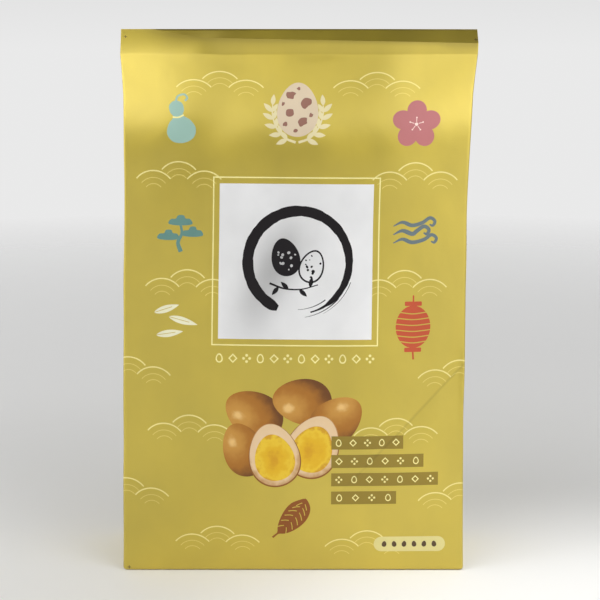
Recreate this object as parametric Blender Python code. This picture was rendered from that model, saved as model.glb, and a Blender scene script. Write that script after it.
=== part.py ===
"""A sealed side-gusset pouch for food, full and standing on its flat base.

Metres, +Z up. The front panel faces -Y, and the long fin seam is on the back, towards +Y.
The pouch is one sheet of film welded shut, so it is modelled as one solid: a loft through level
sections. A section is worked out one quarter at a time. In a quarter, q is the distance along the
film from the middle of a panel, past the panel's edge, to the crease in the middle of the gusset.
"""

import math

import bmesh
import bpy

# Driving dimensions of the pouch
HEIGHT = 0.234
PANEL = 0.154
GUSSET = 0.050
SEAL = 0.0107
LAYERS = 0.0008

# How the filling shapes it
BODY_WIDTH = 0.1469
BASE_WIDTH = 0.1500
DRAW_IN = 0.0267
BASE_FLARE = 0.103
WAIST = 0.0006
WAIST_HEIGHT = 0.164
WAIST_REACH = 0.035
CROWN = 0.0055
CROWN_SCALE = 1.9
SHOULDER_SLOPE = 0.465
SHOULDER_BLEND = 0.003
SIDE_TAPER = 0.048
BASE_EDGE = 0.0013
LEAN = 0.003
LEAN_POWER = 2.2

# The rounding of the panels' edges, sharp at the seal and full lower down
CORNER = 0.0018
CORNER_AT_SEAL = 0.0003
CORNER_GROWTH = 0.09
CREASE_WINDOW = 0.0016

# The header: its upper strip folds back, more steeply towards the right, at a line that falls a
# little towards the right and runs up to the top edge on the left. There the header below the line
# leans back as a whole, between two slopes. Both ends of the front also turn away, each from one
# distance on and fully at another
FOLD_HEIGHT = 0.0045
FOLD_SLOPE = (0.90, 2.2)
FOLD_FALL = 0.019
FOLD_TURN = -0.040
FOLD_TURN_REACH = 0.030
FOLD_TURN_POWER = 1.3
ROLL_FADE = (-0.048, -0.030)
ROLL = (0.34, 0.14)
BEND_LEFT = (0.036, 0.066, 0.12)
BEND_RIGHT = (0.030, 0.048, 0.13)
BEND_FADE_FOOT = 0.100

# The fin seam, which lies flat on the back panel
FIN_WIDTH = 0.010
FIN_THICKNESS = 0.0006
FIN_STEP = 0.0004

# Places along the film, from the middle of a panel
WALL = LAYERS / 2
PANEL_EDGE = PANEL / 2
GUSSET_EDGE = PANEL_EDGE + WALL
GUSSET_HALF = GUSSET / 2 - WALL
GUSSET_CREASE = GUSSET_EDGE + GUSSET_HALF

# Heights
SEAL_FOOT = HEIGHT - SEAL
FOLD_FOOT = HEIGHT - FOLD_HEIGHT

# Low swells where the wrapped pieces inside press on the film: side, x, z, height, half-width
SWELLS = (
    (-1, -0.048, 0.052, 0.0012, 0.019),
    (-1, -0.006, 0.036, 0.0010, 0.018),
    (-1, 0.040, 0.058, 0.0013, 0.020),
    (-1, -0.026, 0.098, 0.0009, 0.022),
    (-1, 0.030, 0.112, 0.0010, 0.022),
    (-1, -0.050, 0.148, 0.0008, 0.018),
    (-1, 0.012, 0.160, 0.0007, 0.020),
    (1, -0.044, 0.044, 0.0013, 0.020),
    (1, 0.046, 0.038, 0.0012, 0.019),
    (1, 0.034, 0.088, 0.0014, 0.021),
    (1, -0.034, 0.096, 0.0012, 0.022),
    (1, 0.042, 0.136, 0.0009, 0.019),
    (1, -0.046, 0.146, 0.0010, 0.019),
)
SWELL_MARGIN = 0.012
SWELL_FOOT = 0.020
SWELL_TOP = (0.185, 0.215)

# Film colour and finish
FILM_COLOUR = (0.52, 0.41, 0.085, 1.0)
FILM_ROUGHNESS = 0.42
FILM_METALLIC = 0.55
SHARP_ANGLE = 35


def soft_min(a, b, blend):
    """The lesser of two lengths, rounded off where they are nearly equal."""
    return -blend * math.log(math.exp(-a / blend) + math.exp(-b / blend))


def smooth(value, low, high):
    """0 below low, 1 above high, and an S curve between them."""
    t = min(max((value - low) / (high - low), 0.0), 1.0)
    return t * t * (3 - 2 * t)


def side_depth(z):
    """Half the opening of the side at height z, which closes at the seal's foot."""
    if z >= SEAL_FOOT:
        return 0.0
    slope = SHOULDER_SLOPE * (SEAL_FOOT - z)
    limit = GUSSET_HALF - SIDE_TAPER * z
    at_seal = soft_min(limit, 0.0, SHOULDER_BLEND)
    return min(soft_min(limit, slope, SHOULDER_BLEND) - at_seal, GUSSET_HALF)


def half_width(z):
    """Half the width between the panel's edges: full at the header, drawn in where it is filled."""
    body = BODY_WIDTH / 2
    waist = WAIST * math.exp(-(((z - WAIST_HEIGHT) / WAIST_REACH) ** 2))
    header = (PANEL_EDGE - body) * math.exp(-max(SEAL_FOOT - z, 0.0) / DRAW_IN)
    base = (BASE_WIDTH / 2 - body) * math.exp(-z / BASE_FLARE)
    return body - waist + header + base


def crown(z):
    """How far the filling pushes out the middle of a panel: most in its lower half."""
    left = max(1 - z / SEAL_FOOT, 0.0)
    return CROWN * CROWN_SCALE * left * (1 - left**4)


def corner_window(z):
    """The length of film on each side of a panel's edge that takes part in its rounding."""
    return min(CORNER, CORNER_AT_SEAL + CORNER_GROWTH * max(SEAL_FOOT - z, 0.0))


def easing(q, place, window):
    """How far a kink at a place along the film is rounded off at q."""
    return window / 4 * max(0.0, 1 - abs(q - place) / window) ** 2


def quarter(q, z):
    """The distance of a point from the middle planes, across and in depth."""
    width, opening, bulge = half_width(z), side_depth(z), crown(z)
    tuck = math.sqrt(max(GUSSET_HALF**2 - opening**2, 0.0))
    if q <= PANEL_EDGE:
        t = q / PANEL_EDGE
        x, depth = width * t, opening + WALL + bulge * (1 - t * t)
    elif q <= GUSSET_EDGE:
        x, depth = width, opening + GUSSET_EDGE - q
    else:
        t = (q - GUSSET_EDGE) / GUSSET_HALF
        x, depth = width - tuck * t, opening * (1 - t)
    window = corner_window(z)
    outer, inner = easing(q, PANEL_EDGE, window), easing(q, GUSSET_EDGE, window)
    crease = easing(q, GUSSET_CREASE, CREASE_WINDOW)
    x -= outer * width / PANEL_EDGE + inner * tuck / GUSSET_HALF
    x += crease * 2 * tuck / GUSSET_HALF
    depth -= outer * (1 - 2 * bulge / PANEL_EDGE)
    depth += inner * (1 - opening / GUSSET_HALF)
    return x, depth


def lean(z):
    """How far the pouch has settled to one side at height z."""
    return LEAN * (z / HEIGHT) ** LEAN_POWER


def base_inset(z):
    """How far the rounded edge of the base stands in from the walls."""
    drop = max(BASE_EDGE - z, 0.0)
    return BASE_EDGE - math.sqrt(BASE_EDGE**2 - drop**2)


def swell(side, x, z, from_edge):
    """The height of the low swells at a point of the front (-1) or the back (1)."""
    total = 0.0
    for on, at_x, at_z, height, spread in SWELLS:
        if on == side:
            away = ((x - at_x) ** 2 + (z - at_z) ** 2) / (2 * spread**2)
            total += height * math.exp(-away)
    fade = min(from_edge / SWELL_MARGIN, 1.0) * smooth(z, 0.0, SWELL_FOOT)
    return total * fade * (1 - smooth(z, *SWELL_TOP))


def turned(x, start, full, slope):
    """How far back a panel's end stands that turns away from start on, to a slope at full."""
    t = min(max((x - start) / (full - start), 0.0), 1.0)
    return slope * ((full - start) * (t**3 - t**4 / 2) + max(x - full, 0.0))


def fold_line(x):
    """The height of the header's fold, which runs up to the top edge on the left."""
    left = max(FOLD_TURN - x, 0.0) / FOLD_TURN_REACH
    return min(FOLD_FOOT - FOLD_FALL * x + FOLD_HEIGHT * left**FOLD_TURN_POWER, HEIGHT)


def header_shift(x, z):
    """How far back the header is bent at a point."""
    line = fold_line(x)
    fold = (FOLD_SLOPE[0] + FOLD_SLOPE[1] * x) * max(z - line, 0.0)
    above = max(min(z, line) - SEAL_FOOT, 0.0)
    roll = above * (ROLL[0] + (ROLL[1] - ROLL[0]) * above / (2 * SEAL))
    right = smooth(x, *ROLL_FADE)
    rise = min(max((z - BEND_FADE_FOOT) / (SEAL_FOOT - BEND_FADE_FOOT), 0.0), 1.0) ** 1.5
    bend = turned(x, *BEND_RIGHT) if x > 0 else turned(-x, *BEND_LEFT)
    return bend * rise + fold + roll * (1 - right)


def film_point(side, across, q, z):
    """The place of one point: side is -1 at the front, 1 at the back; across is the sign of x."""
    x, depth = quarter(q, z)
    if q < PANEL_EDGE:
        depth += swell(side, across * x, z, PANEL_EDGE - q)
        if side > 0 and -FIN_WIDTH <= across * q <= 0:
            depth += FIN_THICKNESS
    inset = base_inset(z)
    x *= 1 - inset / half_width(z)
    depth *= 1 - inset / (GUSSET / 2)
    return across * x + lean(z), side * depth + header_shift(across * x, z), z


def panel_places(extra=()):
    """Distances along a panel from its middle to its edge, closer together near the edge."""
    steps = [0.009 * i for i in range(7)] + [0.062, 0.069, 0.0735, 0.0752, 0.0761, PANEL_EDGE]
    return sorted(steps + list(extra))


def gusset_places():
    """Distances along a gusset from its edge to its crease, closer together near both."""
    offsets = (0.0, 0.0009, 0.0018, 0.0070, 0.0135, 0.0195, 0.0230)
    return [GUSSET_EDGE + offset for offset in offsets] + [GUSSET_CREASE]


def columns():
    """The columns of the loft, all the way round: side, across, q and whether in a gusset."""
    front, gusset = panel_places(), gusset_places()
    # The fin seam has steep edges: it lies on the left half of the back, from the middle outwards
    fin_half = panel_places((FIN_WIDTH, FIN_WIDTH + FIN_STEP))
    plain_half = panel_places((FIN_STEP,))
    found = [(-1, -1, q, False) for q in reversed(front[1:])]
    found += [(-1, 1, q, False) for q in front]
    found += [(-1, 1, q, True) for q in gusset]
    found += [(1, 1, q, True) for q in reversed(gusset[:-1])]
    found += [(1, 1, q, False) for q in reversed(plain_half[1:])]
    found += [(1, -1, q, False) for q in fin_half]
    found += [(1, -1, q, True) for q in gusset]
    found += [(-1, -1, q, True) for q in reversed(gusset[:-1])]
    return found


def levels():
    """The heights of the sections, from the base to the cut edge."""
    base = [0.0, 0.00015, 0.0005, BASE_EDGE, 0.0045, 0.009, 0.015, 0.0215]
    body = [0.030 + 0.0095 * i for i in range(12)]
    shoulder = [0.1420 + 0.008 * i for i in range(9)]
    foot = [0.2130, 0.2175, 0.2208, SEAL_FOOT]
    header = [0.2252, 0.2270, 0.2282, 0.2291, 0.2302, 0.2320, HEIGHT]
    return base + body + shoulder + foot + header


def ring(bm, around, z):
    """The corners of one section, by their column.

    At the seal's foot the two halves of a gusset meet, so they share their corners there. Only the
    gusset's edge goes on above it.
    """
    found, shared = {}, {}
    for column, (side, across, q, in_gusset) in enumerate(around):
        if in_gusset and z > SEAL_FOOT and q > GUSSET_EDGE:
            continue
        key = (across, q) if in_gusset and z >= SEAL_FOOT else column
        if key not in shared:
            shared[key] = bm.verts.new(film_point(side, across, q, z))
        found[column] = shared[key]
    return found


def bridge(bm, low, high, count):
    """Faces between two sections, wherever two neighbouring columns are in both."""
    for column in high:
        after = (column + 1) % count
        if after in high:
            corners = dict.fromkeys((low[column], low[after], high[after], high[column]))
            if len(corners) > 2:
                bm.faces.new(corners)


def build_pouch():
    """The closed mesh, in triangles: its sections bridged, and capped at the base and cut edge."""
    bm = bmesh.new()
    around = columns()
    rings = [ring(bm, around, z) for z in levels()]
    for low, high in zip(rings, rings[1:]):
        bridge(bm, low, high, len(around))
    for end in (rings[0], rings[-1]):
        bm.faces.new(dict.fromkeys(end.values()))
    bmesh.ops.triangulate(bm, faces=bm.faces[:])
    bmesh.ops.recalc_face_normals(bm, faces=bm.faces[:])
    return bm


def centre_on_origin(bm):
    """Moves the pouch so that the middle of its box stands on the origin."""
    for axis in (0, 1):
        values = [vert.co[axis] for vert in bm.verts]
        middle = (min(values) + max(values)) / 2
        for vert in bm.verts:
            vert.co[axis] -= middle


def film_material():
    """Satin gold film."""
    material = bpy.data.materials.new("gold_film")
    material.use_nodes = True
    shader = material.node_tree.nodes["Principled BSDF"]
    shader.inputs["Base Color"].default_value = FILM_COLOUR
    shader.inputs["Roughness"].default_value = FILM_ROUGHNESS
    shader.inputs["Metallic"].default_value = FILM_METALLIC
    return material


def main():
    for old in list(bpy.data.objects):
        bpy.data.objects.remove(old)
    parts = bpy.data.collections.new("sealed_pouch")
    bpy.context.scene.collection.children.link(parts)
    bm = build_pouch()
    centre_on_origin(bm)
    mesh = bpy.data.meshes.new("pouch")
    bm.to_mesh(mesh)
    bm.free()
    mesh.materials.append(film_material())
    mesh.shade_smooth()
    mesh.set_sharp_from_angle(angle=math.radians(SHARP_ANGLE))
    parts.objects.link(bpy.data.objects.new("pouch", mesh))


main()
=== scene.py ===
"""Looks of a sealed gold film pouch: its printed film, fin seam, floor, lights and camera.

The pouch is one sheet of film. A point of the sheet is given by s, the distance round the pouch from
the middle of the front towards +X, and v, the distance up the film from the base's edge. The print
is laid out on the flat sheet in millimetres, and the sheet is cut along its outlines, so that each
ink is a field of faces. The sheet is then shaped by the same rules as the solid.
"""

import math

import bpy
import numpy as np
from mathutils import Matrix, Vector, geometry, kdtree

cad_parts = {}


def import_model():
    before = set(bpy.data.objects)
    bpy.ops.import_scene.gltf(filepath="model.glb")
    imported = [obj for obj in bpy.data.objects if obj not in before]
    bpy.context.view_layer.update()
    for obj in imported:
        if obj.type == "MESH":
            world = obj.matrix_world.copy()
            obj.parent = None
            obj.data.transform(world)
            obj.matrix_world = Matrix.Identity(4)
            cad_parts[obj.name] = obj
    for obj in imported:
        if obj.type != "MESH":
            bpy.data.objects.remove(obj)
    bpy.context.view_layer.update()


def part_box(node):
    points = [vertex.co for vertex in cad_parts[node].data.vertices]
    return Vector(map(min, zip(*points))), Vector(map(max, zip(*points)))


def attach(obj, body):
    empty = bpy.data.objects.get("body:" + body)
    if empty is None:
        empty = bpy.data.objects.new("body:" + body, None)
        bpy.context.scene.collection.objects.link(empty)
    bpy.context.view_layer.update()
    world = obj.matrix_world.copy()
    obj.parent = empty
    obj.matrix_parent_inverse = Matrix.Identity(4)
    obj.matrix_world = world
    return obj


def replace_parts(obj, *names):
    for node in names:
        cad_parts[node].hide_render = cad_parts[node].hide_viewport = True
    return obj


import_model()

# Driving dimensions of the pouch, as in the solid
HEIGHT = 0.234
PANEL = 0.154
GUSSET = 0.050
SEAL = 0.0107
LAYERS = 0.0008
BODY_WIDTH = 0.1469
BASE_WIDTH = 0.1500
DRAW_IN = 0.0267
BASE_FLARE = 0.103
WAIST = 0.0006
WAIST_HEIGHT = 0.164
WAIST_REACH = 0.035
CROWN = 0.0055
CROWN_SCALE = 1.9
SHOULDER_SLOPE = 0.465
SHOULDER_BLEND = 0.003
SIDE_TAPER = 0.048
BASE_EDGE = 0.0013
LEAN = 0.003
LEAN_POWER = 2.2
CORNER = 0.0018
CORNER_AT_SEAL = 0.0003
CORNER_GROWTH = 0.09
CREASE_WINDOW = 0.0016
FOLD_HEIGHT = 0.0045
FOLD_SLOPE = (0.90, 2.2)
FOLD_FALL = 0.019
FOLD_TURN = -0.040
FOLD_TURN_REACH = 0.030
FOLD_TURN_POWER = 1.3
ROLL_FADE = (-0.048, -0.030)
ROLL = (0.34, 0.14)
BEND_LEFT = (0.036, 0.066, 0.12)
BEND_RIGHT = (0.030, 0.048, 0.13)
BEND_FADE_FOOT = 0.100
BEND_FADE_POWER = 1.5
FIN_WIDTH = 0.010
WALL = LAYERS / 2
PANEL_EDGE = PANEL / 2
GUSSET_EDGE = PANEL_EDGE + WALL
GUSSET_HALF = GUSSET / 2 - WALL
GUSSET_CREASE = GUSSET_EDGE + GUSSET_HALF
BACK_EDGE = 2 * GUSSET_CREASE - PANEL_EDGE
BACK_MIDDLE = 2 * GUSSET_CREASE
SEAL_FOOT = HEIGHT - SEAL
FOLD_FOOT = HEIGHT - FOLD_HEIGHT
FLAP = GUSSET / 2
MM = 0.001

# Low swells where the wrapped pieces inside press on the film: side, x, z, height, half-width
SWELLS = (
    (-1, -0.048, 0.052, 0.0012, 0.019),
    (-1, -0.006, 0.036, 0.0010, 0.018),
    (-1, 0.040, 0.058, 0.0013, 0.020),
    (-1, -0.026, 0.098, 0.0009, 0.022),
    (-1, 0.030, 0.112, 0.0010, 0.022),
    (-1, -0.050, 0.148, 0.0008, 0.018),
    (-1, 0.012, 0.160, 0.0007, 0.020),
    (1, -0.044, 0.044, 0.0013, 0.020),
    (1, 0.046, 0.038, 0.0012, 0.019),
    (1, 0.034, 0.088, 0.0014, 0.021),
    (1, -0.034, 0.096, 0.0012, 0.022),
    (1, 0.042, 0.136, 0.0009, 0.019),
    (1, -0.046, 0.146, 0.0010, 0.019),
)
SWELL_MARGIN = 0.012
SWELL_FOOT = 0.020
SWELL_TOP = (0.185, 0.215)


# The film's form


def soft_min(a, b, blend):
    """The lesser of two lengths, rounded off where they are nearly equal."""
    return -blend * np.log(np.exp(-a / blend) + np.exp(-b / blend))


def smooth(value, low, high):
    """0 below low, 1 above high, and an S curve between them."""
    t = np.clip((value - low) / (high - low), 0.0, 1.0)
    return t * t * (3 - 2 * t)


def easing(q, place, window):
    """How far a kink at a place along the film is rounded off at q."""
    return window / 4 * np.maximum(0.0, 1 - np.abs(q - place) / window) ** 2


def quarter(q, z):
    """The distance of points from the middle planes, across and in depth, and the half width."""
    below = np.maximum(SEAL_FOOT - z, 0.0)
    limit = GUSSET_HALF - SIDE_TAPER * z
    at_seal = soft_min(limit, 0.0, SHOULDER_BLEND)
    opening = soft_min(limit, SHOULDER_SLOPE * below, SHOULDER_BLEND) - at_seal
    opening = np.where(below > 0, np.minimum(opening, GUSSET_HALF), 0.0)
    tuck = np.sqrt(np.maximum(GUSSET_HALF**2 - opening**2, 0.0))
    body = BODY_WIDTH / 2
    width = body - WAIST * np.exp(-(((z - WAIST_HEIGHT) / WAIST_REACH) ** 2))
    width = width + (PANEL_EDGE - body) * np.exp(-below / DRAW_IN)
    width = width + (BASE_WIDTH / 2 - body) * np.exp(-z / BASE_FLARE)
    left = np.maximum(1 - z / SEAL_FOOT, 0.0)
    bulge = CROWN * CROWN_SCALE * left * (1 - left**4)
    t, u = q / PANEL_EDGE, (q - GUSSET_EDGE) / GUSSET_HALF
    kinds = [q <= PANEL_EDGE, q <= GUSSET_EDGE]
    x = np.select(kinds, [width * t, width], width - tuck * u)
    panel = opening + WALL + bulge * (1 - t * t)
    depth = np.select(kinds, [panel, opening + GUSSET_EDGE - q], opening * (1 - u))
    window = np.minimum(CORNER, CORNER_AT_SEAL + CORNER_GROWTH * below)
    outer, inner = easing(q, PANEL_EDGE, window), easing(q, GUSSET_EDGE, window)
    crease = easing(q, GUSSET_CREASE, CREASE_WINDOW)
    x = x - outer * width / PANEL_EDGE - inner * tuck / GUSSET_HALF
    x = x + crease * 2 * tuck / GUSSET_HALF
    depth = depth - outer * (1 - 2 * bulge / PANEL_EDGE)
    return x, depth + inner * (1 - opening / GUSSET_HALF), width


def swell(side, x, z, from_edge):
    """The height of the low swells at points of the front (-1) or the back (1)."""
    total = np.zeros_like(x)
    for on, at_x, at_z, height, spread in SWELLS:
        away = ((x - at_x) ** 2 + (z - at_z) ** 2) / (2 * spread**2)
        total += np.where(side == on, height * np.exp(-away), 0.0)
    fade = np.clip(from_edge / SWELL_MARGIN, 0.0, 1.0) * smooth(z, 0.0, SWELL_FOOT)
    return total * fade * (1 - smooth(z, *SWELL_TOP))


def turned(x, start, full, slope):
    """How far back a panel's end stands that turns away from start on, to a slope at full."""
    t = np.clip((x - start) / (full - start), 0.0, 1.0)
    return slope * ((full - start) * (t**3 - t**4 / 2) + np.maximum(x - full, 0.0))


def fold_line(x):
    """The height of the header's fold, which runs up to the top corner on the left."""
    left = np.maximum(FOLD_TURN - x, 0.0) / FOLD_TURN_REACH
    return np.minimum(FOLD_FOOT - FOLD_FALL * x + FOLD_HEIGHT * left**FOLD_TURN_POWER, HEIGHT)


def header_shift(x, z):
    """How far back the header is bent at points."""
    line = fold_line(x)
    above = np.maximum(np.minimum(z, line) - SEAL_FOOT, 0.0)
    roll = above * (ROLL[0] + (ROLL[1] - ROLL[0]) * above / (2 * SEAL))
    right = smooth(x, *ROLL_FADE)
    rise = np.clip((z - BEND_FADE_FOOT) / (SEAL_FOOT - BEND_FADE_FOOT), 0.0, 1.0)
    bend = rise**BEND_FADE_POWER * np.where(x > 0, turned(x, *BEND_RIGHT), turned(-x, *BEND_LEFT))
    fold = (FOLD_SLOPE[0] + FOLD_SLOPE[1] * x) * np.maximum(z - line, 0.0)
    return bend + fold + roll * (1 - right)


def wall_points(s, z):
    """Places of points on the walls, from the base's edge to the cut edge."""
    across = np.where(s < 0, -1.0, 1.0)
    away = np.abs(s)
    side = np.where(away > GUSSET_CREASE, 1.0, -1.0)
    q = np.where(away > GUSSET_CREASE, 2 * GUSSET_CREASE - away, away)
    x, depth, width = quarter(q, z)
    depth = depth + swell(side, across * x, z, PANEL_EDGE - q)
    drop = np.maximum(BASE_EDGE - z, 0.0)
    inset = BASE_EDGE - np.sqrt(BASE_EDGE**2 - drop**2)
    x = across * x * (1 - inset / width)
    depth = depth * (1 - inset / (GUSSET / 2))
    lean = LEAN * (z / HEIGHT) ** LEAN_POWER
    y = side * depth + header_shift(x, z)
    return np.stack([x + lean, y, z], -1)


def climb_table():
    """Heights up the middle of the front, and the length of film up to each."""
    z = np.linspace(0.0, HEIGHT, 1500)
    middle = wall_points(np.zeros_like(z), z)
    steps = np.linalg.norm(np.diff(middle, axis=0), axis=1)
    return z, np.concatenate([[0.0], np.cumsum(steps)])


CLIMB_Z, CLIMB_V = climb_table()
FILM_TOP = float(CLIMB_V[-1])


def height_of(v):
    return np.interp(v, CLIMB_V, CLIMB_Z)


def film_of(z):
    return np.interp(z, CLIMB_Z, CLIMB_V)


BASE_TUCK = 0.30
BASE_RISE = 0.0008


def film_points(s, v):
    """Places of points of the sheet: its walls, its flaps under the base, and its cut edge."""
    points = wall_points(s, height_of(v))
    under = np.clip(-v / FLAP, 0.0, 1.0)
    over = np.clip((v - FILM_TOP) / WALL, 0.0, 1.0)
    points[..., 0] *= 1 - BASE_TUCK * under
    points[..., 1] *= 1 - under
    points[..., 2] += BASE_RISE * under
    side = np.where(np.abs(s) > GUSSET_CREASE, 1.0, -1.0)
    points[..., 1] -= side * WALL * over
    return points


# Creases and ripples of the film


CREASE_FROM = (0.0774, 0.0931)
CREASE_TO = (0.0135, 0.0290)
CREASE_START = 0.004
CREASE_DEPTH = 0.0010
CREASE_ABOVE = 0.006
CREASE_BELOW = 0.011
# Long hollows of the front: the middle, the half sizes, the turn in degrees and the depth
DENT = ((-0.0030, 0.1335), (0.0230, 0.0085), 56, 0.0022)
TROUGH = ((-0.046, 0.183), (0.030, 0.010), 48, 0.0008)
# Ripples all over: strength, waves round and up the pouch in radians a metre, and start
RIPPLE = 0.00006
RIPPLE_WAVES = ((1.0, 95, 61, 0.0), (1.0, -47, 118, 0.9), (0.6, 173, -149, 2.1), (0.4, 263, 221, 0.3))
RELIEF_SIDE = 0.003
RELIEF_BACK = (0.012, 0.002)
RELIEF_FOOT = (0.001, 0.012)
RELIEF_TOP = 0.004
# Painted shade, a darker film colour under the header's fold, on the strip above it, in the label's dent
# and on the diagonal crease. HEADER_PAINTED_SHADE_MORE: extra reach, its side, and where it starts and
# is full
HEADER_PAINTED_SHADE = 0.5
HEADER_PAINTED_SHADE_REACH = 0.0010
HEADER_PAINTED_SHADE_POWER = 1.5
HEADER_PAINTED_SHADE_MORE = ((0.0011, -1, -0.010, 0.020), (0.0018, 1, 0.058, 0.069), (0.0031, -1, 0.042, 0.056))
HEADER_PAINTED_SHADE_END = (0.052, 0.072)
STRIP_PAINTED_SHADE_LEFT = 0.22
STRIP_PAINTED_SHADE_SPAN = ((-0.064, -0.050), (-0.030, -0.004))
STRIP_PAINTED_SHADE_RIGHT = 0.26
STRIP_PAINTED_SHADE_END = (0.060, 0.072)
CREASE_PAINTED_SHADE = 0.3
CREASE_PAINTED_SHADE_REACH = 0.0006
LABEL_PAINTED_SHADE = ((-0.0100, 0.1335), (0.0245, 0.0098), 63, 0.68)


def beside_crease(s, z):
    """How far points are off the diagonal crease, and how strong it is beside them."""
    from_s, from_z = CREASE_FROM
    run = np.array(CREASE_TO) - np.array(CREASE_FROM)
    length = float(np.hypot(*run))
    along = ((s - from_s) * run[0] + (z - from_z) * run[1]) / length
    off = ((s - from_s) * run[1] - (z - from_z) * run[0]) / length
    begun, ended = smooth(along, -CREASE_START, CREASE_START), smooth(along, length / 2, length)
    return off, begun * (1 - ended)


def crease_line(s, z):
    """A fine diagonal crease low on the right of the front."""
    off, strength = beside_crease(s, z)
    reach = np.where(off < 0, CREASE_BELOW, CREASE_ABOVE)
    return -CREASE_DEPTH * np.exp(-np.abs(off) / reach) * strength


def hollow(s, z, middle, half, turn, depth):
    """A shallow long hollow."""
    ds, dz, a = s - middle[0], z - middle[1], math.radians(turn)
    along = ds * math.cos(a) + dz * math.sin(a)
    off = -ds * math.sin(a) + dz * math.cos(a)
    return -depth * np.exp(-((along / half[0]) ** 2) - (off / half[1]) ** 2)


def ripple(s, z):
    """Slight unevenness of the film all over."""
    return RIPPLE * sum(size * np.sin(s * a + z * b + start) for size, a, b, start in RIPPLE_WAVES)


def header_shade(s, z):
    """Painted shade under the header's fold, darkening the film colour: further down on the left and at
    the right end.
    """
    more = [extra * smooth(side * s, start, full) for extra, side, start, full in HEADER_PAINTED_SHADE_MORE]
    below = np.maximum(fold_line(s) - z, 0.0) / (HEADER_PAINTED_SHADE_REACH + sum(more))
    strength = HEADER_PAINTED_SHADE * (1 - smooth(-s, *HEADER_PAINTED_SHADE_END)) * (np.abs(s) < PANEL_EDGE)
    return strength * np.exp(-(below**HEADER_PAINTED_SHADE_POWER))


def strip_shade(s):
    """Painted shade on the folded strip, darkening its colour in its left part and at its right end."""
    begin, end = STRIP_PAINTED_SHADE_SPAN
    left = STRIP_PAINTED_SHADE_LEFT * smooth(s, *begin) * (1 - smooth(s, *end))
    return (left + STRIP_PAINTED_SHADE_RIGHT * smooth(s, *STRIP_PAINTED_SHADE_END)) * (np.abs(s) < PANEL_EDGE)


def label_shade(s, z):
    """Painted shade in the white square's dent, darkening its colour."""
    return -hollow(s, z, *LABEL_PAINTED_SHADE)


def crease_shade(s, z):
    """Painted shade right on the diagonal crease, a thin darker line of film colour."""
    off, strength = beside_crease(s, z)
    return CREASE_PAINTED_SHADE * strength * np.maximum(1 - np.abs(off) / CREASE_PAINTED_SHADE_REACH, 0.0)


def relief(s, z):
    """How far the film stands out from its smooth form."""
    front = 1 - smooth(np.abs(s), PANEL_EDGE - RELIEF_SIDE, PANEL_EDGE)
    total = crease_line(s, z) + hollow(s, z, *DENT) + hollow(s, z, *TROUGH)
    back_start, back_end = RELIEF_BACK
    back = 1 - smooth(np.abs(s), BACK_MIDDLE - back_start, BACK_MIDDLE - back_end)
    fade = smooth(z, *RELIEF_FOOT) * (1 - smooth(z, SEAL_FOOT - RELIEF_TOP, SEAL_FOOT))
    return (total * front + ripple(s, z) * back) * fade


def shaped(s, v, out=0.0):
    """Places of points a distance out from the sheet with its creases and ripples."""
    step = 2e-4
    along = film_points(s + step, v) - film_points(s - step, v)
    up = film_points(s, v + step) - film_points(s, v - step)
    normal = np.cross(along, up)
    normal /= np.maximum(np.linalg.norm(normal, axis=-1, keepdims=True), 1e-12)
    return film_points(s, v) + normal * (relief(s, height_of(v)) + out)[..., None]


# Shapes of the print, in millimetres of flat film


def moved(points, at=(0.0, 0.0), turn=0.0):
    """An outline turned by degrees and moved."""
    a = math.radians(turn)
    spin = np.array([[math.cos(a), math.sin(a)], [-math.sin(a), math.cos(a)]])
    return np.asarray(points, float) @ spin + np.asarray(at, float)


def oval(width, height, count=36):
    a = np.linspace(0, 2 * math.pi, count, endpoint=False)
    return np.stack([width / 2 * np.cos(a), height / 2 * np.sin(a)], 1)


EGG_TAPER = 0.16


def egg_outline(width, height, count=44):
    """An egg with its narrow end up."""
    a = np.linspace(0, 2 * math.pi, count, endpoint=False)
    return np.stack([width / 2 * np.cos(a) * (1 - EGG_TAPER * np.sin(a)), height / 2 * np.sin(a)], 1)


def box_outline(width, height, corner=0.0):
    """A box with round corners, the middle at the origin."""
    if corner == 0:
        return np.array([(-1, -1), (1, -1), (1, 1), (-1, 1)]) * (width / 2, height / 2)
    points = []
    for i, (sx, sy) in enumerate(((1, 1), (-1, 1), (-1, -1), (1, -1))):
        for a in np.linspace(i * math.pi / 2, (i + 1) * math.pi / 2, 9):
            x = sx * (width / 2 - corner) + corner * math.cos(a)
            points.append((x, sy * (height / 2 - corner) + corner * math.sin(a)))
    return np.array(points)


def stroke(path, widths):
    """The outline of a brush stroke along a path, with a width at each of its points."""
    path = np.asarray(path, float)
    widths = np.broadcast_to(np.asarray(widths, float), len(path))
    along = np.gradient(path, axis=0)
    along /= np.linalg.norm(along, axis=1, keepdims=True)
    out = np.stack([-along[:, 1], along[:, 0]], 1) * widths[:, None] / 2
    return np.concatenate([path + out, (path - out)[::-1]])


def arc(radius, start, end, count=14):
    """Points on an arc, from one bearing to another in degrees, anticlockwise from +s."""
    a = np.radians(np.linspace(start, end, count))
    return np.stack([radius * np.cos(a), radius * np.sin(a)], 1)


def curve(points, count=24):
    """A smooth open curve through points (Catmull-Rom)."""
    p = np.asarray(points, float)
    p = np.concatenate([[2 * p[0] - p[1]], p, [2 * p[-1] - p[-2]]])
    t = np.linspace(0, len(p) - 3 - 1e-9, count)
    i, f = t.astype(int), (t % 1)[:, None]
    a, b, c, d = p[i], p[i + 1], p[i + 2], p[i + 3]
    return b + 0.5 * f * (c - a + f * (2 * a - 5 * b + 4 * c - d + f * (3 * (b - c) + d - a)))


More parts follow.
